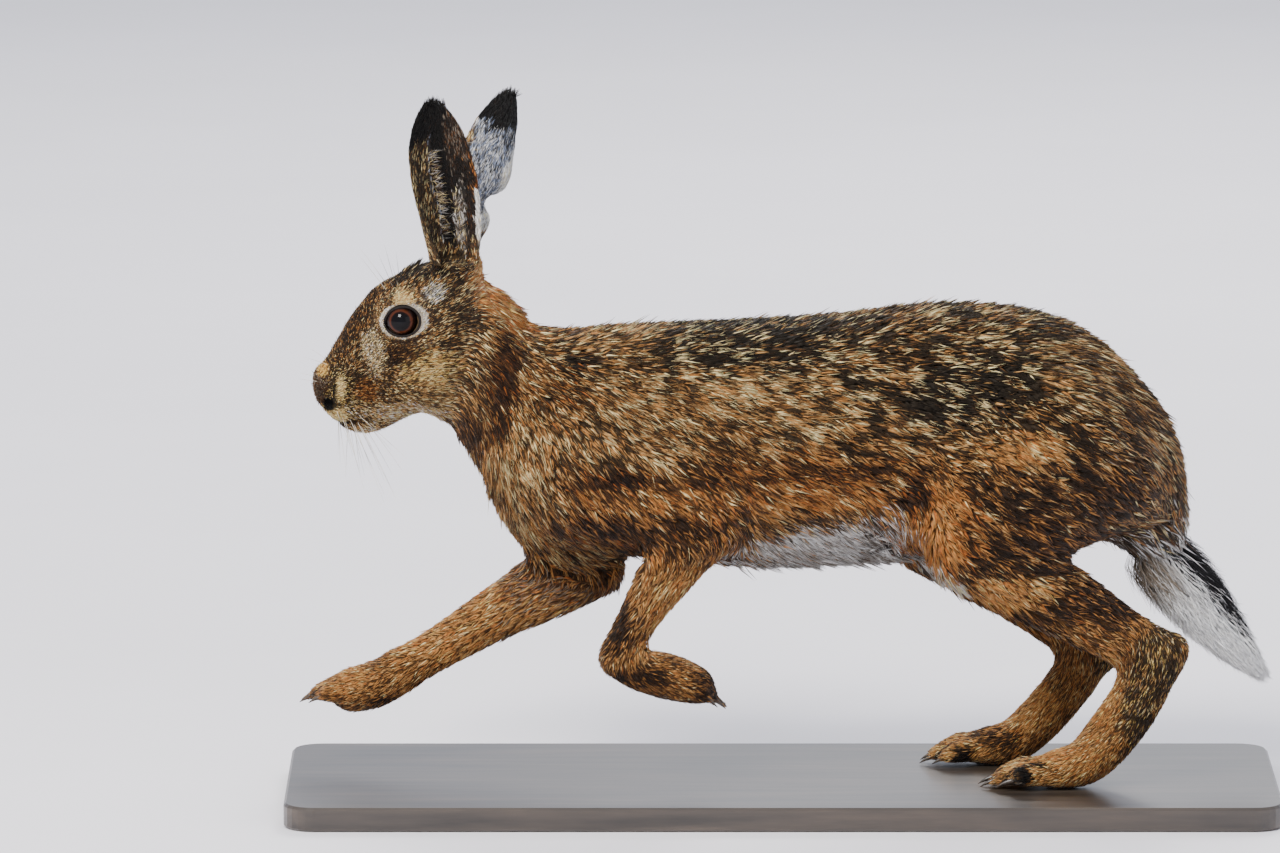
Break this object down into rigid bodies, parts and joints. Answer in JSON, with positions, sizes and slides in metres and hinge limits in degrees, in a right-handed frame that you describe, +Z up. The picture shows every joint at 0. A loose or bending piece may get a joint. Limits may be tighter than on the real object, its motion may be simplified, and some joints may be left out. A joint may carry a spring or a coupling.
{
  "type": "brown hare",
  "caption": "Life-size still model of a brown hare in mid-stride, hind feet on a flat board, forefeet in the air, ears up, tail back.",
  "frame": {"origin": "centre of the board's underside, which is the centre of the bottom of the bounding box", "axes": "-X towards the nose, +X towards the tail, -Y to the hare's left, +Y to its right, +Z up"},
  "size_m": [0.566, 0.19, 0.4064],
  "materials": {
    "coat": "dense short fur, streaked black, cream and tan",
    "leg": "short ochre fur",
    "ear": "thin ear with very short fur, black at the tip",
    "tail": "long white hair, black on top",
    "eye": "wet gloss, amber brown with a black pupil",
    "board": "dark satin lacquer"
  },
  "bodies": {
    "root": {"head": "coat", "ear_left": "ear", "ear_right": "ear", "eye_left": "eye", "eye_right": "eye", "neck": "coat", "chest": "coat", "loin": "coat", "rump": "coat", "tail": "tail", "arm_left": "coat", "forearm_left": "leg", "paw_left": "leg", "arm_right": "coat", "forearm_right": "leg", "paw_right": "leg", "thigh_left": "coat", "shank_left": "leg", "foot_left": "leg", "thigh_right": "coat", "shank_right": "leg", "foot_right": "leg", "stand_board": "board"}
  },
  "joints": []
}
